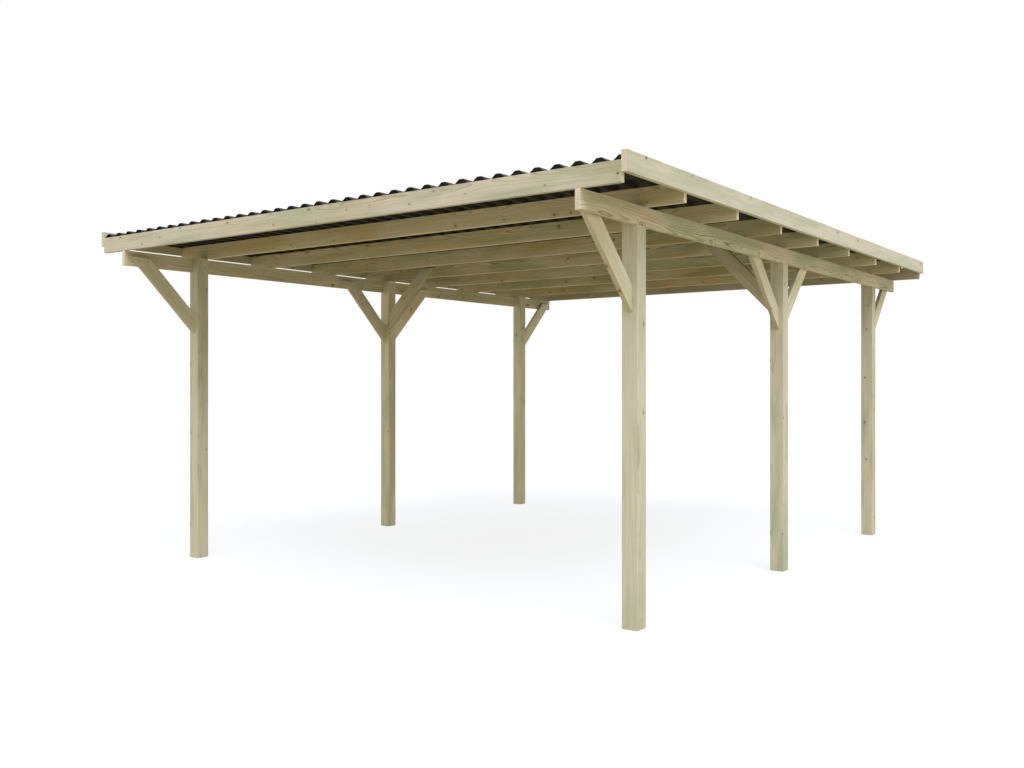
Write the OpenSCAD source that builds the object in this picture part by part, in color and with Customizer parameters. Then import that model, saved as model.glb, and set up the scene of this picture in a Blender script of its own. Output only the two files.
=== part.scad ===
// Open timber carport with six notched posts, knee braces and a flat corrugated roof.
// Millimetres, +Z up, origin on the ground under the middle of the roof.
// The front faces -Y; left is -X and right is +X.

/* [Posts] */
// Side of the square posts
post_w = 90; // [70:1:140]
// Width over the outer faces of the two post rows
row_outer = 3650; // [2600:10:6000]
// Distance from post to post along a row
post_pitch = 1969; // [1400:1:2600]
// Height of the notch seat that carries a beam
seat_z = 2044; // [1800:1:2600]

/* [Beams] */
// Thickness of a beam
beam_t = 29; // [24:1:60]
// Height of a beam
beam_h = 100; // [80:1:200]
// Beam overhang past the outer face of a corner post
beam_over = 537; // [100:1:900]

/* [Joists] */
// Thickness of a joist
joist_t = 28; // [24:1:60]
// Height of a joist and of the end boards
joist_h = 102; // [80:1:200]
// Distance from joist to joist
joist_pitch = 639; // [400:1:660]
// Joist overhang past the outer face of the posts
joist_over = 217; // [50:1:400]
// Thickness of the front and rear boards
end_board_t = 28; // [16:1:40]

/* [Fascias] */
// Thickness of a side fascia
fascia_t = 28; // [16:1:40]
// Height of a side fascia
fascia_h = 99; // [80:1:200]
// Height of the fascia's lower edge above the beams
fascia_lift = 46; // [20:1:60]
// Length by which a fascia passes the end boards
fascia_nose = 2; // [0:1:40]

/* [Braces] */
// Width of a brace board
brace_w = 98; // [60:1:140]
// Thickness of a brace board
brace_t = 28; // [24:1:60]
// Height of the toe of a brace that runs along a beam
brace_toe = 1603; // [1200:1:1800]
// Height of the toe of a brace that runs across to the middle joist
cross_toe = 1719; // [1300:1:1900]
// Height by which a brace laps its beam
brace_lap = 61; // [30:1:80]
// Height by which a brace laps the middle joist
cross_lap = 80; // [30:1:80]

/* [Roof sheets] */
// Number of sheets across the roof
sheet_count = 4; // [2:1:6]
// Ribs from the start of one sheet to the start of the next
sheet_ribs = 9; // [4:1:14]
// Sheet thickness
sheet_t = 1.5; // [1:0.1:3]
// Height of a rib
rib_h = 22; // [10:1:40]
// Width of the flat on top of a rib
rib_top = 27; // [10:1:60]
// Sideways run of a rib's slope
rib_slope = 28; // [8:1:40]
// Distance from the left fascia to the foot of the first rib
rib_start = 7; // [0:1:30]
// Part of the last rib that is left beside the right fascia
rib_rest = 45; // [28:1:55]
// Set-back of the sheet ends from the outer faces of the front and rear boards
sheet_back = 6; // [0:1:20]

/* [Hidden] */
beam_z = seat_z + beam_h;
joist_z = beam_z + joist_h;
row_x = row_outer / 2;
roof_x = row_x + joist_over;
roof_y = post_pitch + post_w / 2 + beam_over;
fascia_z = beam_z + fascia_lift;
brace_cut = brace_w * sqrt(2);
rib_pitch = (2 * roof_x - rib_start - rib_rest) / (sheet_count * sheet_ribs - 1);
wood = [0.77, 0.72, 0.58];
wood_shade = [0.66, 0.60, 0.44];
wood_pale = [0.82, 0.78, 0.68];
anthracite = [0.13, 0.13, 0.15];

// Height of a rib's underside above the joists, at u from the foot of its left slope.
function rib_rise(u) =
    u < rib_slope ? rib_h * u / rib_slope :
    u < rib_slope + rib_top ? rib_h :
    u < 2 * rib_slope + rib_top ? rib_h * (2 * rib_slope + rib_top - u) / rib_slope : 0;

// Corners of rib number n, measured from the left edge of the roof and raised by lift.
function rib_corners(n, lift) = [
    for (u = [0, rib_slope, rib_slope + rib_top, 2 * rib_slope + rib_top])
        [rib_start + n * rib_pitch + u, rib_rise(u) + lift]
];

// The underside of a sheet from its first corner to its last, left to right.
function sheet_line(k) =
    let (first = k * sheet_ribs, last = first + sheet_ribs)
    let (inner = [for (n = [first : last - 1]) each rib_corners(n, 0)])
    let (start = k == 0 ? [[0, 0]] : [])
    k == sheet_count - 1
        ? concat(start, closing_line(inner))
        : concat(start, inner, lap_line(last));

// The last rib of a sheet lies on the first rib of its neighbour and stops on its far foot.
function lap_line(n) = rib_corners(n, sheet_t);

// The last sheet stops at the right fascia, part of the way across its last rib.
function closing_line(line) =
    let (kept = [for (p = line) if (p[0] < 2 * roof_x) p])
    concat(kept, [[2 * roof_x, rib_rise(rib_rest)]]);

// Square post with a notch on its outer side that seats the beam; side is -1 left, 1 right.
module post(side, y) {
    color(wood)
    difference() {
        translate([side * (row_x - post_w / 2) - post_w / 2, y - post_w / 2, 0])
            cube([post_w, post_w, beam_z]);
        translate([side * (row_x - beam_t / 2 + 5) - beam_t / 2 - 5, y - post_w, seat_z])
            cube([beam_t + 10, 2 * post_w, beam_h + 10]);
    }
}

// Beam along a post row, lying in the notches.
module beam(side) {
    color(wood_shade)
    translate([side * (row_x - beam_t / 2) - beam_t / 2, -roof_y, seat_z])
        cube([beam_t, 2 * roof_y, beam_h]);
}

// Board across the roof, standing on the beams, centred on y.
module cross_board(y, t) {
    translate([-roof_x, y - t / 2, beam_z])
        cube([2 * roof_x, t, joist_h]);
}

// Joist number n, counted from the front; joist 4 is over the middle posts.
module joist(n) {
    color(wood_shade)
    cross_board((n - 4) * joist_pitch, joist_t);
}

// Side board on the joist ends, from end to end of the roof.
module fascia(side) {
    color(wood_pale)
    translate([side * (roof_x + fascia_t / 2) - fascia_t / 2, -roof_y - fascia_nose, fascia_z])
        cube([fascia_t, 2 * (roof_y + fascia_nose), fascia_h]);
}

// Outline of a 45 degree brace: plumb cut at the post, level cut at the top.
module brace_outline(rise) {
    polygon([[0, 0], [0, brace_cut], [rise - brace_cut, rise], [rise, rise]]);
}

// Brace beside the inner face of a beam; way is -1 towards the front, 1 towards the rear.
module beam_brace(side, y, way) {
    x_far = row_x - beam_t - brace_t;
    color(wood)
    translate([side > 0 ? x_far : -x_far - brace_t, y + way * post_w / 2, brace_toe])
    multmatrix([[0, 0, 1, 0], [way, 0, 0, 0], [0, 1, 0, 0]])
    linear_extrude(brace_t)
        brace_outline(seat_z + brace_lap - brace_toe);
}

// Brace from a middle post's inner face to the front face of the middle joist.
module cross_brace(side) {
    color(wood)
    translate([side * (row_x - post_w), -joist_t / 2 - brace_t, cross_toe])
    multmatrix([[-side, 0, 0, 0], [0, 0, 1, 0], [0, 1, 0, 0]])
    linear_extrude(brace_t)
        brace_outline(beam_z + cross_lap - cross_toe);
}

// Corrugated sheet number k, counted from the left starting at 0, ribs running front to rear.
module sheet(k) {
    line = sheet_line(k);
    over = [for (i = [len(line) - 1 : -1 : 0]) line[i] + [0, sheet_t]];
    color(anthracite)
    translate([-roof_x, roof_y - sheet_back, joist_z])
    rotate([90, 0, 0])
    linear_extrude(2 * (roof_y - sheet_back))
        polygon(concat(line, over));
}

module post_front_left() { post(-1, -post_pitch); }
module post_middle_left() { post(-1, 0); }
module post_rear_left() { post(-1, post_pitch); }
module post_front_right() { post(1, -post_pitch); }
module post_middle_right() { post(1, 0); }
module post_rear_right() { post(1, post_pitch); }
module beam_left() { beam(-1); }
module beam_right() { beam(1); }
module front_board() { color(wood_pale) cross_board(end_board_t / 2 - roof_y, end_board_t); }
module rear_board() { color(wood_pale) cross_board(roof_y - end_board_t / 2, end_board_t); }
module joist_1() { joist(1); }
module joist_2() { joist(2); }
module joist_3() { joist(3); }
module joist_4() { joist(4); }
module joist_5() { joist(5); }
module joist_6() { joist(6); }
module joist_7() { joist(7); }
module fascia_left() { fascia(-1); }
module fascia_right() { fascia(1); }
module brace_front_left() { beam_brace(-1, -post_pitch, -1); }
module brace_front_right() { beam_brace(1, -post_pitch, -1); }
module brace_middle_left_fore() { beam_brace(-1, 0, -1); }
module brace_middle_right_fore() { beam_brace(1, 0, -1); }
module brace_middle_left_aft() { beam_brace(-1, 0, 1); }
module brace_middle_right_aft() { beam_brace(1, 0, 1); }
module brace_rear_left() { beam_brace(-1, post_pitch, 1); }
module brace_rear_right() { beam_brace(1, post_pitch, 1); }
module brace_cross_left() { cross_brace(-1); }
module brace_cross_right() { cross_brace(1); }
module roof_sheet_1() { sheet(0); }
module roof_sheet_2() { sheet(1); }
module roof_sheet_3() { sheet(2); }
module roof_sheet_4() { sheet(3); }

post_front_left();
post_middle_left();
post_rear_left();
post_front_right();
post_middle_right();
post_rear_right();
beam_left();
beam_right();
front_board();
joist_1();
joist_2();
joist_3();
joist_4();
joist_5();
joist_6();
joist_7();
rear_board();
fascia_left();
fascia_right();
brace_front_left();
brace_front_right();
brace_middle_left_fore();
brace_middle_right_fore();
brace_middle_left_aft();
brace_middle_right_aft();
brace_rear_left();
brace_rear_right();
brace_cross_left();
brace_cross_right();
roof_sheet_1();
roof_sheet_2();
roof_sheet_3();
roof_sheet_4();
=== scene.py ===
"""An open timber carport: notched posts, beams, joists, knee braces and a corrugated roof."""

import math
import random

import bmesh
import bpy
from mathutils import Matrix, Vector


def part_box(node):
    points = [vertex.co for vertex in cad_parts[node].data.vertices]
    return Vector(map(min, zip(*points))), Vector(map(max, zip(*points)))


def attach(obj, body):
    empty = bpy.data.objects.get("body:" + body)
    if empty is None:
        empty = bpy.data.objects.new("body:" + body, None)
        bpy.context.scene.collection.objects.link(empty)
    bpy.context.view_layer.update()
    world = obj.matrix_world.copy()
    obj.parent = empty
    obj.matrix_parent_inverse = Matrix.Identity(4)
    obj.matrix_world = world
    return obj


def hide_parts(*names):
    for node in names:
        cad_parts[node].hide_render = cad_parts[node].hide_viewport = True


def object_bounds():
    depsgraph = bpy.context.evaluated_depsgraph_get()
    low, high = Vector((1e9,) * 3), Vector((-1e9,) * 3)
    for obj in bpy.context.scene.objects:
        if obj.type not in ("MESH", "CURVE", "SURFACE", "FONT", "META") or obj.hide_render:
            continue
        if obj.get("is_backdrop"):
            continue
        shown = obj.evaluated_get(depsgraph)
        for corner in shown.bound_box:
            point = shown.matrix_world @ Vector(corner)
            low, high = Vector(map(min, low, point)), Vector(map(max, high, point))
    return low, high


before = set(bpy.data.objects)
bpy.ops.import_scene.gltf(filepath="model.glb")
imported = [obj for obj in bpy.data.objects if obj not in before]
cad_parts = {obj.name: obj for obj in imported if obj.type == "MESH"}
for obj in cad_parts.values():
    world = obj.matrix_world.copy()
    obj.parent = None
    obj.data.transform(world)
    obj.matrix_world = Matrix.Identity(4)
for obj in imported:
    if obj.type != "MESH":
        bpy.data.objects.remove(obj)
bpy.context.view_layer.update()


# ---------------------------------------------------------------------------------------------
# Camera
# A level camera off the front right corner, at chest height, so that the posts stay upright
# and the underside of the roof shows.

EYE = (4.2727, -6.4189, 1.2430)
TURN_DEGREES = 36.236
LENS_MM = 35.01

camera = bpy.data.objects.new("camera", bpy.data.cameras.new("camera"))
bpy.context.scene.collection.objects.link(camera)
camera.location = EYE
camera.rotation_euler = (math.radians(90), 0, math.radians(TURN_DEGREES))
camera.data.sensor_width = 36
camera.data.lens = LENS_MM
camera.data.clip_end = 300
bpy.context.scene.camera = camera


# ---------------------------------------------------------------------------------------------
# Posts
# Six square posts of pressure-treated pine. They are planed, with their arrises eased, and
# notched at the top on the outer side, so that a beam sits on the notch beside a tongue.

UP, SIDEWAYS = Vector((0, 0, 1)), Vector((1, 0, 0))
ARRIS_RADIUS = 0.0014
SAME_PLACE = 0.00002
FLAT = math.radians(1)
SHARP = math.radians(20)

# Patterns in the wood, as repeats in a metre along, across and through a board.
KNOT_PLACES = (4.5, 9.0, 1.0)
HEART_DRIFT = (1.0, 4, 4)
RING_RIPPLE = (6, 34, 34)
FINE_FIBRE = (7, 340, 340)
BROAD_FIBRE = (2.4, 85, 85)
SOAKED_PATCHES = (1.6, 9, 9)
RESIN_PATCHES = (1.8, 10, 10)
RESIN_SHIFT = (31, 7, 3)
# The gap from ring to ring, and how far the drift and the ripple carry a ring.
RING_GAP = 0.004
DRIFT_REACH = 0.07
RIPPLE_REACH = 0.006
# Rings by which a knot parts the grain, for each metre of its radius.
RINGS_PUSHED = 260
# The heart of the log lies this far from a board's middle.
HEART_NEAR, HEART_FAR = 0.03, 0.07
HEART_DEEP = 0.06


def colour(code):
    """An sRGB hex colour as linear RGBA."""
    channels = [int(code[i : i + 2], 16) / 255 for i in (1, 3, 5)]
    return (*[c / 12.92 if c <= 0.04045 else ((c + 0.055) / 1.055) ** 2.4 for c in channels], 1)


def add(tree, kind, inputs=None, **settings):
    """Adds a shader node, sets or links its inputs, and gives its outputs."""
    made = tree.nodes.new("ShaderNode" + kind)
    for key, value in settings.items():
        setattr(made, key, value)
    for key, value in (inputs or {}).items():
        if isinstance(value, bpy.types.NodeSocket):
            tree.links.new(value, made.inputs[key])
        else:
            made.inputs[key].default_value = value
    return made.outputs


def treated_pine(name, pale, late, green, warm):
    """Planed pine under a green water-borne preservative: matt, pale and softly striped.

    The rings are shells round the heart of the log, so a face shows them as flames, an edge
    as lines and a sawn end as arcs, and they part round a knot. The sapwood took up the
    preservative in green patches, and the resin shows between them as tan.
    """
    material = bpy.data.materials.new(name)
    material.use_nodes = True
    tree = material.node_tree
    tree.nodes.clear()
    grain = add(tree, "Attribute", attribute_name="grain")["Vector"]
    tint = add(tree, "Attribute", attribute_name="tint")
    shade, greenness, warmth = add(tree, "SeparateColor", {0: tint["Color"]})
    is_end = tint["Alpha"]
    figure = add(tree, "Attribute", attribute_name="figure")
    ring_strength, knot_share, knot_size = add(tree, "SeparateColor", {0: figure["Color"]})
    face = add(tree, "UVMap", uv_map="face")["UV"]

    # Knots: each face is tiled with places of some 220 by 110 mm, and a share of them has one.
    tiled = add(tree, "VectorMath", {0: face, 1: KNOT_PLACES}, operation="MULTIPLY")[0]
    place = add(tree, "TexVoronoi", {"Vector": tiled, "Scale": 1}, voronoi_dimensions="2D")
    away = add(tree, "VectorMath", {0: tiled, 1: place["Position"]}, operation="SUBTRACT")[0]
    away = add(tree, "VectorMath", {0: away, 1: KNOT_PLACES}, operation="DIVIDE")[0]
    lot = add(tree, "SeparateColor", {0: place["Color"]})
    present = add(tree, "Math", {0: lot[1], 1: knot_share}, operation="LESS_THAN")[0]
    on_face = add(tree, "Math", {0: 1.0, 1: is_end}, operation="SUBTRACT")[0]
    present = add(tree, "Math", {0: present, 1: on_face}, operation="MULTIPLY")[0]
    radius = add(tree, "MapRange", {0: lot[0], 3: 0.5, 4: 1.3})[0]
    radius = add(tree, "Math", {0: radius, 1: knot_size}, operation="MULTIPLY")[0]
    ragged = add(tree, "TexNoise", {"Vector": face, "Scale": 160, "Detail": 1})[0]
    ragged = add(tree, "MapRange", {0: ragged, 3: 0.6, 4: 1.4})[0]
    distance = add(tree, "VectorMath", {0: away, 1: (0.7, 1, 0)}, operation="MULTIPLY")[0]
    distance = add(tree, "VectorMath", {0: distance}, operation="LENGTH")["Value"]
    distance = add(tree, "Math", {0: distance, 1: ragged}, operation="MULTIPLY")[0]
    reach = add(tree, "Math", {0: distance, 1: radius}, operation="DIVIDE")[0]
    core = add(tree, "MapRange", {0: reach, 1: 0.7, 2: 1.2, 3: 1, 4: 0})[0]
    core = add(tree, "Math", {0: core, 1: present}, operation="MULTIPLY")[0]
    rim = add(tree, "MapRange", {0: reach, 1: 0.9, 2: 2.2, 3: 1, 4: 0})[0]
    rim = add(tree, "Math", {0: rim, 1: present}, operation="MULTIPLY")[0]
    halo = add(
        tree,
        "MapRange",
        {0: reach, 1: 1, 2: 6, 3: 1, 4: 0},
        interpolation_type="SMOOTHSTEP",
    )[0]
    halo = add(tree, "Math", {0: halo, 1: present}, operation="MULTIPLY")[0]

    # Fibre pushed aside by a knot, further along the grain than across it.
    drawn = add(tree, "VectorMath", {0: away, 1: (0.4, 1, 0)}, operation="MULTIPLY")[0]
    drawn = add(tree, "VectorMath", {0: drawn}, operation="LENGTH")["Value"]
    drawn = add(tree, "Math", {0: drawn, 1: radius}, operation="DIVIDE")[0]
    push = add(
        tree,
        "MapRange",
        {0: drawn, 1: 0.3, 2: 5, 3: 1, 4: 0},
        interpolation_type="SMOOTHERSTEP",
    )[0]
    push = add(tree, "Math", {0: push, 1: present}, operation="MULTIPLY")[0]
    push = add(tree, "Math", {0: push, 1: radius}, operation="MULTIPLY")[0]

    # Rings: round a heart that wanders by some 20 mm, with a ripple of a millimetre or two.
    # Each year's latewood is as dark as it happens to be.
    slow = add(tree, "VectorMath", {0: grain, 1: HEART_DRIFT}, operation="MULTIPLY")[0]
    drift = add(tree, "TexNoise", {"Vector": slow, "Scale": 1, "Detail": 1})["Color"]
    drift = add(tree, "VectorMath", {0: drift, 1: (0.5, 0.5, 0.5)}, operation="SUBTRACT")[0]
    drift = add(
        tree,
        "VectorMath",
        {0: drift, 1: (0, DRIFT_REACH, DRIFT_REACH), 2: grain},
        operation="MULTIPLY_ADD",
    )[0]
    quick = add(tree, "VectorMath", {0: grain, 1: RING_RIPPLE}, operation="MULTIPLY")[0]
    ripple = add(tree, "TexNoise", {"Vector": quick, "Scale": 1, "Detail": 1})["Color"]
    ripple = add(tree, "VectorMath", {0: ripple, 1: (0.5, 0.5, 0.5)}, operation="SUBTRACT")[0]
    lain = add(
        tree,
        "VectorMath",
        {0: ripple, 1: (0, RIPPLE_REACH, RIPPLE_REACH), 2: drift},
        operation="MULTIPLY_ADD",
    )[0]
    lain = add(tree, "VectorMath", {0: lain, 1: (0, 1, 1)}, operation="MULTIPLY")[0]
    from_heart = add(tree, "VectorMath", {0: lain}, operation="LENGTH")["Value"]
    years = add(tree, "Math", {0: from_heart, 1: RING_GAP}, operation="DIVIDE")[0]
    years = add(tree, "Math", {0: push, 1: RINGS_PUSHED, 2: years}, operation="MULTIPLY_ADD")[0]
    year = add(tree, "Math", {0: years}, operation="FLOOR")[0]
    season = add(tree, "Math", {0: years}, operation="FRACT")[0]
    summer = add(
        tree, "MapRange", {0: season, 1: 0.45, 2: 0.93}, interpolation_type="SMOOTHSTEP"
    )[0]
    winter = add(tree, "MapRange", {0: season, 1: 0.93, 2: 1, 3: 1, 4: 0})[0]
    latewood = add(tree, "Math", {0: summer, 1: winter}, operation="MULTIPLY")[0]
    weather = add(tree, "TexWhiteNoise", {"W": year}, noise_dimensions="1D")[0]
    weather = add(tree, "MapRange", {0: weather, 3: 0.15, 4: 1.0})[0]
    latewood = add(tree, "Math", {0: latewood, 1: weather}, operation="MULTIPLY")[0]
    latewood = add(tree, "Math", {0: latewood, 1: ring_strength}, operation="MULTIPLY")[0]

    # Fibre: streaks 3 mm and 12 mm wide along the board. Real fibre is finer than a hair and
    # would not show, so it is drawn this coarse.
    fine = add(tree, "VectorMath", {0: grain, 1: FINE_FIBRE}, operation="MULTIPLY")[0]
    fibre = add(tree, "TexNoise", {"Vector": fine, "Scale": 1, "Detail": 1})[0]
    broad = add(tree, "VectorMath", {0: grain, 1: BROAD_FIBRE}, operation="MULTIPLY")[0]
    streak = add(tree, "TexNoise", {"Vector": broad, "Scale": 1, "Detail": 2})[0]

    # Preservative and resin: patches a hand's breadth wide and up to a metre long. The resin is
    # shifted, so that it doesn't follow the preservative.
    patch = add(tree, "VectorMath", {0: grain, 1: SOAKED_PATCHES}, operation="MULTIPLY")[0]
    soaked = add(tree, "TexNoise", {"Vector": patch, "Scale": 1, "Detail": 3})[0]
    soaked = add(
        tree, "MapRange", {0: soaked, 1: 0.42, 2: 0.62}, interpolation_type="SMOOTHSTEP"
    )[0]
    soaked = add(tree, "Math", {0: soaked, 1: greenness}, operation="MULTIPLY")[0]
    soaked = add(tree, "Math", {0: soaked, 1: on_face}, operation="MULTIPLY")[0]
    patch = add(
        tree,
        "VectorMath",
        {0: grain, 1: RESIN_PATCHES, 2: RESIN_SHIFT},
        operation="MULTIPLY_ADD",
    )[0]
    resin = add(tree, "TexNoise", {"Vector": patch, "Scale": 1, "Detail": 3})[0]
    resin = add(
        tree,
        "MapRange",
        {0: resin, 1: 0.42, 2: 0.66, 3: 0.45},
        interpolation_type="SMOOTHSTEP",
    )[0]
    resin = add(tree, "Math", {0: resin, 1: warmth}, operation="MULTIPLY")[0]
    resin = add(
        tree, "Math", {0: halo, 1: 0.2, 2: resin}, operation="MULTIPLY_ADD", use_clamp=True
    )[0]
    resin = add(tree, "Math", {0: resin, 1: on_face}, operation="MULTIPLY")[0]

    # Colour, from the sapwood up to the knots.
    wood = add(tree, "Mix", {0: is_end, 6: colour(pale), 7: colour("#DFD0B6")}, data_type="RGBA")[2]
    wood = add(tree, "Mix", {0: latewood, 6: wood, 7: colour(late)}, data_type="RGBA")[2]
    for share, stain in ((soaked, green), (resin, warm)):
        wood = add(
            tree,
            "Mix",
            {0: share, 6: wood, 7: colour(stain)},
            data_type="RGBA",
            blend_type="MULTIPLY",
        )[2]
    rim = add(tree, "Math", {0: rim, 1: 0.45}, operation="MULTIPLY")[0]
    wood = add(tree, "Mix", {0: rim, 6: wood, 7: colour("#8C7648")}, data_type="RGBA")[2]
    core = add(tree, "Math", {0: core, 1: 0.62}, operation="MULTIPLY")[0]
    wood = add(tree, "Mix", {0: core, 6: wood, 7: colour("#4C452E")}, data_type="RGBA")[2]
    level = add(tree, "Math", {0: streak, 1: fibre}, operation="ADD")[0]
    level = add(tree, "MapRange", {0: level, 1: 0.6, 2: 1.4, 3: 0.88, 4: 1.10})[0]
    level = add(tree, "Math", {0: level, 1: shade}, operation="MULTIPLY")[0]
    wood = add(tree, "VectorMath", {0: wood, "Scale": level}, operation="SCALE")[0]

    # Planed surface: latewood and knots stand a little proud, and the fibre is felt.
    relief = add(tree, "Math", {0: latewood, 1: 0.8, 2: fibre}, operation="MULTIPLY_ADD")[0]
    relief = add(tree, "Math", {0: core, 1: 0.6, 2: relief}, operation="MULTIPLY_ADD")[0]
    bump = add(tree, "Bump", {"Strength": 0.5, "Distance": 0.0006, "Height": relief})[0]
    rough = add(tree, "MapRange", {0: latewood, 3: 0.74, 4: 0.60})[0]
    surface = add(
        tree,
        "BsdfPrincipled",
        {"Base Color": wood, "Roughness": rough, "Normal": bump, "IOR": 1.45},
    )[0]
    add(tree, "OutputMaterial", {"Surface": surface})
    return material


frame_pine = treated_pine("treated_pine_frame", "#DCD5BE", "#8E774A", "#CDE0CF", "#F2D6A0")


def merged_copy(node):
    """A copy of a solid, with its triangles merged into flat faces."""
    body = bmesh.new()
    body.from_mesh(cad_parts[node].data)
    bmesh.ops.remove_doubles(body, verts=body.verts, dist=SAME_PLACE)
    bmesh.ops.dissolve_limit(body, angle_limit=FLAT, verts=body.verts, edges=body.edges)
    return body


def fixed_piece(name, body, material):
    """Makes a piece of the carport from a finished bmesh."""
    mesh = bpy.data.meshes.new(name)
    body.to_mesh(mesh)
    body.free()
    mesh.materials.append(material)
    piece = bpy.data.objects.new(name, mesh)
    bpy.context.scene.collection.objects.link(piece)
    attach(piece, "root")
    return piece


def log_heart(draw, nearest, furthest):
    """Draws where the heart of the log lies from a board's middle, across and through it."""
    across = draw.uniform(nearest, furthest)
    return across, draw.choice((-1, 1)) * draw.uniform(HEART_NEAR, HEART_DEEP)


def timber(node, material, along, across, heart, tint, figure, painted_edge_shade=1.0):
    """Makes a board from its solid: eases its arrises and lays it in its own stretch of log.

    heart is where the heart of the log lies from the middle of the section, across and through
    the board. tint is its shade, greenness and warmth. figure is how strong its rings are, the
    share of places with a knot, and a knot's radius. The last argument darkens both narrow faces
    alike as painted shade, standing for the shadow on the underside of a brace.
    """
    body = merged_copy(node)
    arrises = [e for e in body.edges if e.is_convex and e.calc_face_angle() > SHARP]
    bmesh.ops.bevel(
        body,
        geom=arrises,
        affect="EDGES",
        offset=ARRIS_RADIUS,
        segments=2,
        profile=0.5,
        material=-1,
    )
    draw = random.Random(node)
    start = draw.uniform(0, 30)
    low, high = (Vector(corner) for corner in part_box(node))
    middle = (low + high) / 2
    through = along.cross(across)
    grain = body.verts.layers.float_vector.new("grain")
    for vert in body.verts:
        place = vert.co - middle
        vert[grain] = (
            place.dot(along) + start,
            place.dot(across) - heart[0],
            place.dot(through) - heart[1],
        )
    shifts = {key: (draw.uniform(0, 30), draw.uniform(0, 30)) for key in "abcde"}
    face_uv = body.loops.layers.uv.new("face")
    tints = body.loops.layers.float_color.new("tint")
    figures = body.loops.layers.float_color.new("figure")
    for face in body.faces:
        facing = (face.normal.dot(along), face.normal.dot(across), face.normal.dot(through))
        is_end = abs(facing[0]) > 0.5
        if is_end:
            key, u_axis, v_axis = "e", across, through
        elif abs(facing[1]) > abs(facing[2]):
            key, u_axis, v_axis = ("a" if facing[1] > 0 else "b"), along, through
        else:
            key, u_axis, v_axis = ("c" if facing[2] > 0 else "d"), along, across
        # The narrow faces take the painted shade.
        shade = tint[0] * (painted_edge_shade if key in "ab" else 1)
        for loop in face.loops:
            place = loop.vert.co - middle
            shift = shifts[key]
            loop[face_uv].uv = (place.dot(u_axis) + shift[0], place.dot(v_axis) + shift[1])
            loop[tints] = (shade, *tint[1:], float(is_end))
            loop[figures] = (*figure, 1)
    piece = fixed_piece(node + "_timber", body, material)
    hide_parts(node)


# Each post's tint and figure. The middle and rear left posts are lighter, partly for their own tone
# and partly as painted light for the brighter light on their front faces.
POSTS = {
    "post_front_right": ((0.97, 0.40, 0.18), (0.45, 0.08, 0.004)),
    "post_middle_right": ((0.98, 0.60, 0.18), (0.45, 0.30, 0.004)),
    "post_rear_right": ((0.97, 0.55, 0.22), (0.40, 0.35, 0.005)),
    "post_front_left": ((0.97, 0.50, 0.25), (0.45, 0.40, 0.005)),
    # Partly painted light: these two posts are made lighter for the brighter light on them.
    "post_middle_left": ((1.11, 0.50, 0.30), (0.45, 0.35, 0.006)),
    "post_rear_left": ((1.14, 0.50, 0.30), (0.45, 0.30, 0.006)),
}
for name, (tint, figure) in POSTS.items():
    heart = log_heart(random.Random(name + "_heart"), -HEART_FAR, -HEART_NEAR)
    timber(name, frame_pine, UP, SIDEWAYS, heart, tint, figure)


# ---------------------------------------------------------------------------------------------
# Beams
# A long board of the same pine lies on edge in the notches of each post row and runs past the
# end posts. It is screwed to the tongues of the posts from the inner side.

LENGTHWAYS = Vector((0, 1, 0))
BEAM_HEART = (-0.03, 0.06)
# Each beam's tint and figure.
BEAMS = {
    "beam_left": ((1.10, 0.50, 0.45), (0.70, 0.40, 0.009)),
    "beam_right": ((1.09, 0.70, 0.35), (1.00, 0.35, 0.007)),
}
for name, (tint, figure) in BEAMS.items():
    timber(name, frame_pine, LENGTHWAYS, UP, BEAM_HEART, tint, figure)


# ---------------------------------------------------------------------------------------------
# Joists and end boards
# Seven pine boards stand on edge across the beams and carry the roof. A like board of paler
# pine closes it at the front and at the rear, on the ends of the beams.

facing_pine = treated_pine("treated_pine_facing", "#D9D2BE", "#A3946A", "#D6E6D4", "#F6D8B4")
# Each joist's tint and figure, from the front.
JOISTS = [
    ((1.21, 0.20, 0.75), (0.70, 0.20, 0.005)),
    ((1.18, 0.50, 0.60), (0.80, 0.25, 0.006)),
    ((1.04, 0.65, 0.75), (0.70, 0.25, 0.005)),
    ((1.12, 0.75, 0.65), (0.80, 0.25, 0.007)),
    ((1.12, 0.70, 0.55), (0.70, 0.25, 0.005)),
    ((1.16, 0.75, 0.75), (0.75, 0.25, 0.006)),
    ((1.16, 0.60, 0.80), (0.70, 0.25, 0.005)),
]
for number, (tint, figure) in enumerate(JOISTS, 1):
    name = f"joist_{number}"
    heart = log_heart(random.Random(name + "_heart"), HEART_NEAR, HEART_FAR)
    timber(name, frame_pine, SIDEWAYS, UP, heart, tint, figure)

# Each end board's tint, and the place of its heart.
END_BOARDS = {
    "front_board": ((0.95, 0.60, 0.40), (0.045, -0.05)),
    "rear_board": ((0.97, 0.50, 0.40), (0.045, 0.05)),
}
END_BOARD_FIGURE = (0.60, 0.80, 0.0042)
for name, (tint, heart) in END_BOARDS.items():
    timber(
        name, facing_pine, SIDEWAYS, UP, heart, tint, END_BOARD_FIGURE
    )


# ---------------------------------------------------------------------------------------------
# Fascias
# A board of the paler pine is fixed to the joist ends at each side, raised so that it hides
# the edges of the roof sheets.

FASCIA_HEART = (0.05, 0.06)
FASCIA_FIGURE = (0.40, 0.35, 0.0055)
FASCIA_TINTS = {"fascia_left": (1.00, 0.45, 0.15), "fascia_right": (1.00, 0.50, 0.15)}
for name, tint in FASCIA_TINTS.items():
    timber(
        name, facing_pine, LENGTHWAYS, UP, FASCIA_HEART, tint, FASCIA_FIGURE
    )


# ---------------------------------------------------------------------------------------------
# Braces
# Short pine boards at 45 degrees stiffen the frame: along the beams from every post, and across
# from each middle post to the middle joist. Each has a plumb cut below and a level cut above,
# and is screwed on from the inner side.

SIDES = {"left": -1, "right": 1}
# Painted shade on a brace's narrow faces, standing for the shadow on its underside.
BRACE_EDGE_PAINTED_SHADE = 0.80
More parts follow.
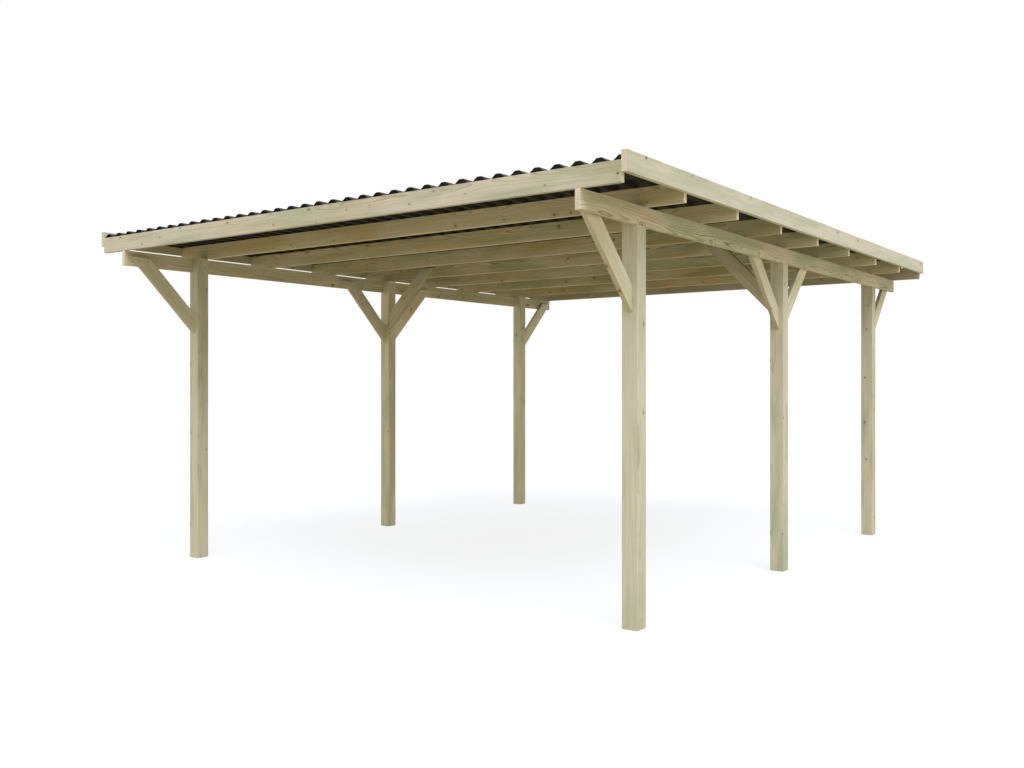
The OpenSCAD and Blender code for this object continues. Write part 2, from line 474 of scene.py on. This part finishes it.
# Each pair of braces, and its way along the beams: -1 to the front, 1 to the rear, 0 across.
BRACES = {
    "brace_front_{}": -1,
    "brace_middle_{}_fore": -1,
    "brace_middle_{}_aft": 1,
    "brace_rear_{}": 1,
    "brace_cross_{}": 0,
}
# Each brace's shade, greenness and warmth. The shades are mostly the wood's own tone, but the
# middle left aft brace is made much lighter as painted light, standing for the sunlight on it.
BRACE_TINTS = {
    "brace_front_left": (1.08, 0.25, 0.35),
    "brace_front_right": (1.08, 0.25, 0.30),
    "brace_middle_left_fore": (1.00, 0.20, 0.35),
    "brace_middle_right_fore": (1.05, 0.35, 0.25),
    # Painted light: this brace is lighter, for the sunlight that falls on it.
    "brace_middle_left_aft": (1.35, 0.25, 0.40),
    "brace_middle_right_aft": (1.22, 0.35, 0.25),
    "brace_rear_left": (1.25, 0.35, 0.30),
    "brace_rear_right": (1.12, 0.45, 0.45),
    "brace_cross_left": (0.94, 0.50, 0.45),
    "brace_cross_right": (0.92, 0.45, 0.40),
}
for form, way in BRACES.items():
    for side, sign in SIDES.items():
        name = form.format(side)
        along = Vector((0 if way else -sign, way, 1)).normalized()
        across = (SIDEWAYS if way else LENGTHWAYS).cross(along)
        draw = random.Random(name + "_heart")
        heart = log_heart(draw, HEART_NEAR, HEART_FAR)
        figure = (draw.uniform(0.30, 0.50), 0.35, 0.006)
        timber(
            name,
            frame_pine,
            along,
            across,
            heart,
            BRACE_TINTS[name],
            figure,
            painted_edge_shade=BRACE_EDGE_PAINTED_SHADE,
        )


# ---------------------------------------------------------------------------------------------
# Timber screws
# Countersunk screws of yellow zinc-plated steel, driven flush from the inner side: two at each
# end of a brace, and two through each post's tongue into the beam.

SCREW_RADIUS = 0.0046
SCREW_DEPTH = 0.002
PROUD = 0.0003
RECESS_DEPTH = 0.0012
# Distance from a brace's end cuts, height above its toe, and distance back from its tip.
SCREW_EDGE = 0.03
TOE_HEIGHTS = (0.075, 0.12)
TIP_SETBACKS = (0.06, 0.12)
# Along the beam from the post's middle, and down from its top.
TONGUE_SCREWS = ((-0.02, 0.03), (0.02, 0.07))

# The yellow zinc gives the small heads a dull gold sheen, with spangles of about 2 mm.
zinc = bpy.data.materials.new("yellow_zinc_plated_steel")
zinc.use_nodes = True
tree = zinc.node_tree
tree.nodes.clear()
place = add(tree, "TexCoord")["Object"]
spangle = add(tree, "TexNoise", {"Vector": place, "Scale": 600, "Detail": 2})[0]
bright = add(tree, "MapRange", {0: spangle, 1: 0.35, 2: 0.65})[0]
plate = add(
    tree, "Mix", {0: bright, 6: colour("#8A7D52"), 7: colour("#A5976C")}, data_type="RGBA"
)[2]
rough = add(tree, "MapRange", {0: spangle, 3: 0.30, 4: 0.50})[0]
surface = add(
    tree, "BsdfPrincipled", {"Base Color": plate, "Metallic": 1.0, "Roughness": rough}
)[0]
add(tree, "OutputMaterial", {"Surface": surface})


def screw_head(body, place, facing):
    """Adds a flush round head with a recess, its top facing along facing."""
    turn = facing.to_track_quat("Z", "Y").to_matrix().to_4x4()
    made = bmesh.ops.create_cone(
        body,
        cap_ends=True,
        segments=16,
        radius1=SCREW_RADIUS * 0.7,
        radius2=SCREW_RADIUS,
        depth=SCREW_DEPTH,
        matrix=Matrix.Translation(place + facing * (PROUD - SCREW_DEPTH / 2)) @ turn,
    )
    faces = {f for v in made["verts"] for f in v.link_faces}
    top = max(faces, key=lambda f: f.calc_center_median().dot(facing))
    bmesh.ops.inset_individual(body, faces=[top], thickness=SCREW_RADIUS * 0.5)
    bmesh.ops.inset_individual(
        body, faces=[top], thickness=SCREW_RADIUS * 0.1, depth=-RECESS_DEPTH
    )


heads = bmesh.new()
for form, way in BRACES.items():
    for side, sign in SIDES.items():
        low, high = (Vector(corner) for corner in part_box(form.format(side)))
        if way:
            facing = Vector((-sign, 0, 0))
            heel = Vector((low.x if sign > 0 else high.x, low.y if way > 0 else high.y, low.z))
            outwards = Vector((0, way, 0))
        else:
            facing = Vector((0, -1, 0))
            heel = Vector((high.x if sign > 0 else low.x, low.y, low.z))
            outwards = Vector((-sign, 0, 0))
        rise = high.z - low.z
        places = [(SCREW_EDGE, height) for height in TOE_HEIGHTS]
        places += [(rise - setback, rise - SCREW_EDGE) for setback in TIP_SETBACKS]
        for out, height in places:
            screw_head(heads, heel + outwards * out + UP * height, facing)
for name in POSTS:
    low, high = (Vector(corner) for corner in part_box(name))
    sign = 1 if low.x > 0 else -1
    for out, drop in TONGUE_SCREWS:
        place = Vector((low.x if sign > 0 else high.x, (low.y + high.y) / 2 + out, high.z - drop))
        screw_head(heads, place, Vector((-sign, 0, 0)))
fixed_piece("timber_screws", heads, zinc)


# ---------------------------------------------------------------------------------------------
# Roof sheets
# Steel sheets rolled into ribs and coated anthracite. They lie on the joists between the
# fascias, and each laps the next by one rib.

# The coating is matt and nearly black, with a soft sheen, a texture about a millimetre across,
# and faint streaks of dust along the ribs, some 70 mm wide.
DUST_STREAKS = (14, 1.5, 14)
coated = bpy.data.materials.new("anthracite_coated_steel")
coated.use_nodes = True
tree = coated.node_tree
tree.nodes.clear()
place = add(tree, "TexCoord")["Object"]
run = add(tree, "VectorMath", {0: place, 1: DUST_STREAKS}, operation="MULTIPLY")[0]
dust = add(tree, "TexNoise", {"Vector": run, "Scale": 1, "Detail": 4})[0]
dust = add(tree, "MapRange", {0: dust, 1: 0.45, 2: 0.75}, interpolation_type="SMOOTHSTEP")[0]
paint = add(
    tree, "Mix", {0: dust, 6: colour("#121419"), 7: colour("#1B1D24")}, data_type="RGBA"
)[2]
peel = add(tree, "TexNoise", {"Vector": place, "Scale": 900, "Detail": 1})[0]
peel = add(tree, "Bump", {"Strength": 0.15, "Distance": 0.0003, "Height": peel})[0]
rough = add(tree, "MapRange", {0: dust, 3: 0.50, 4: 0.65})[0]
surface = add(
    tree,
    "BsdfPrincipled",
    {"Base Color": paint, "Roughness": rough, "Normal": peel, "Specular IOR Level": 0.25},
)[0]
add(tree, "OutputMaterial", {"Surface": surface})

# Folds are the gentle bends that run along a sheet. Its cut edges stay sharp.
FOLD_RADIUS = 0.0016
SLIGHT_FOLD, STEEP_FOLD = math.radians(10), math.radians(75)
SHEETS = [f"roof_sheet_{number}" for number in range(1, 5)]

for node in SHEETS:
    body = merged_copy(node)
    folds = [
        e
        for e in body.edges
        if SLIGHT_FOLD < e.calc_face_angle() < STEEP_FOLD
        and abs((e.verts[0].co - e.verts[1].co).normalized().y) > 0.9
    ]
    bmesh.ops.bevel(
        body, geom=folds, affect="EDGES", offset=FOLD_RADIUS, segments=3, profile=0.5, material=-1
    )
    piece = fixed_piece(node + "_coated", body, coated)
    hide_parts(node)


# ---------------------------------------------------------------------------------------------
# Roof screws
# Hexagon-headed screws with a domed sealing washer, coated like the sheets. They go through
# the crests into every joist, at every third rib and at every lap.

WASHER_RADIUS, WASHER_DEPTH = 0.008, 0.0024
HEAD_RADIUS, HEAD_DEPTH = 0.0046, 0.0045
HEAD_EASE = 0.0006
# Any corner higher than this above a sheet's underside is on top of a crest.
CREST_HEIGHT = 0.0230
# Ribs of a sheet before the one that its neighbour laps.
SHEET_RIBS = 9

for node in SHEETS:
    low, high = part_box(node)
    corners = {
        round(v.co.x, 4): v.co.z
        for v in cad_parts[node].data.vertices
        if v.co.z > low[2] + CREST_HEIGHT
    }
    edges = sorted(corners)
    crests = list(zip(edges[::2], edges[1::2]))
    chosen = crests[1::3] + crests[SHEET_RIBS:]
    body = bmesh.new()
    for left, right in chosen:
        for number in range(1, len(JOISTS) + 1):
            board_low, board_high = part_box(f"joist_{number}")
            foot = Vector(((left + right) / 2, (board_low[1] + board_high[1]) / 2, corners[left]))
            bmesh.ops.create_cone(
                body,
                cap_ends=True,
                segments=16,
                radius1=WASHER_RADIUS,
                radius2=WASHER_RADIUS * 0.7,
                depth=WASHER_DEPTH,
                matrix=Matrix.Translation(foot + UP * WASHER_DEPTH / 2),
            )
            head_middle = foot + UP * (WASHER_DEPTH + HEAD_DEPTH / 2)
            made = bmesh.ops.create_cone(
                body,
                cap_ends=True,
                segments=6,
                radius1=HEAD_RADIUS,
                radius2=HEAD_RADIUS,
                depth=HEAD_DEPTH,
                matrix=Matrix.Translation(head_middle),
            )
            rims = {e for v in made["verts"] for e in v.link_edges if v.co.z > head_middle.z}
            rims = [e for e in rims if min(v.co.z for v in e.verts) > head_middle.z]
            bmesh.ops.bevel(
                body,
                geom=rims,
                affect="EDGES",
                offset=HEAD_EASE,
                segments=1,
                profile=0.5,
                material=-1,
            )
    fixed_piece(node.replace("sheet", "screws"), body, coated)


# ---------------------------------------------------------------------------------------------
# Floor and light
# A white floor and white surroundings, as in a studio, lit by a soft sky and one broad lamp.
# To the eye the floor is white with a faint shadow. To the wood it is dull and warm.

FLOOR_RADIUS = 60
body = bmesh.new()
bmesh.ops.create_circle(body, cap_ends=True, segments=64, radius=FLOOR_RADIUS)
mesh = bpy.data.meshes.new("floor")
body.to_mesh(mesh)
body.free()
floor = bpy.data.objects.new("floor", mesh)
bpy.context.scene.collection.objects.link(floor)
floor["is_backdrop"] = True
ground = bpy.data.materials.new("pale_floor")
ground.use_nodes = True
tree = ground.node_tree
tree.nodes.clear()
seen = add(tree, "LightPath")["Is Camera Ray"]
lit = add(tree, "BsdfDiffuse", {"Color": (0.25, 0.25, 0.25, 1)})[0]
glow = add(tree, "Emission", {"Color": (1, 1, 1, 1), "Strength": 0.80})[0]
shown = add(tree, "AddShader", {0: lit, 1: glow})[0]
dull = add(tree, "BsdfDiffuse", {"Color": (0.36, 0.32, 0.22, 1)})[0]
low_glow = add(tree, "Emission", {"Color": (1, 0.88, 0.58, 1), "Strength": 0.20})[0]
bounce = add(tree, "AddShader", {0: dull, 1: low_glow})[0]
mix = add(tree, "MixShader", {0: seen, 1: bounce, 2: shown})[0]
add(tree, "OutputMaterial", {"Surface": mix})
mesh.materials.append(ground)

# The sky is brighter low down, as in a room with white walls, and cooler overhead.
HORIZON_STRENGTH, ZENITH_STRENGTH = 1.15, 0.50
HORIZON_HUE, ZENITH_HUE = (1.03, 0.99, 0.86, 1), (0.82, 0.99, 1.24, 1)
world = bpy.data.worlds.new("white_sky")
world.use_nodes = True
tree = world.node_tree
tree.nodes.clear()
paths = add(tree, "LightPath")
shown = add(
    tree,
    "Math",
    {0: paths["Is Camera Ray"], 1: paths["Is Transmission Ray"]},
    operation="MAXIMUM",
)[0]
shown = add(tree, "Math", {0: shown, 1: paths["Is Glossy Ray"]}, operation="MAXIMUM")[0]
way = add(tree, "SeparateXYZ", {0: add(tree, "TexCoord")["Generated"]})
level = add(tree, "MapRange", {0: way["Z"], 3: HORIZON_STRENGTH, 4: ZENITH_STRENGTH})[0]
hue = add(tree, "Mix", {0: way["Z"], 6: HORIZON_HUE, 7: ZENITH_HUE}, data_type="RGBA")[2]
cool = add(tree, "Background", {"Color": hue, "Strength": level})[0]
white = add(tree, "Background", {"Color": (1, 1, 1, 1), "Strength": 1.0})[0]
sky = add(tree, "MixShader", {0: shown, 1: cool, 2: white})[0]
add(tree, "OutputWorld", {"Surface": sky})
bpy.context.scene.world = world

LAMP_WAY = Vector((0.48, -0.38, 0.84))
lamp = bpy.data.objects.new("soft_sun", bpy.data.lights.new("soft_sun", "SUN"))
bpy.context.scene.collection.objects.link(lamp)
lamp.data.energy = 1.75
lamp.data.color = (0.93, 1.00, 1.15)
lamp.data.angle = math.radians(40)
lamp.rotation_euler = (-LAMP_WAY).to_track_quat("-Z", "Y").to_euler()

bpy.context.scene.view_settings.view_transform = "Standard"

low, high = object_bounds()
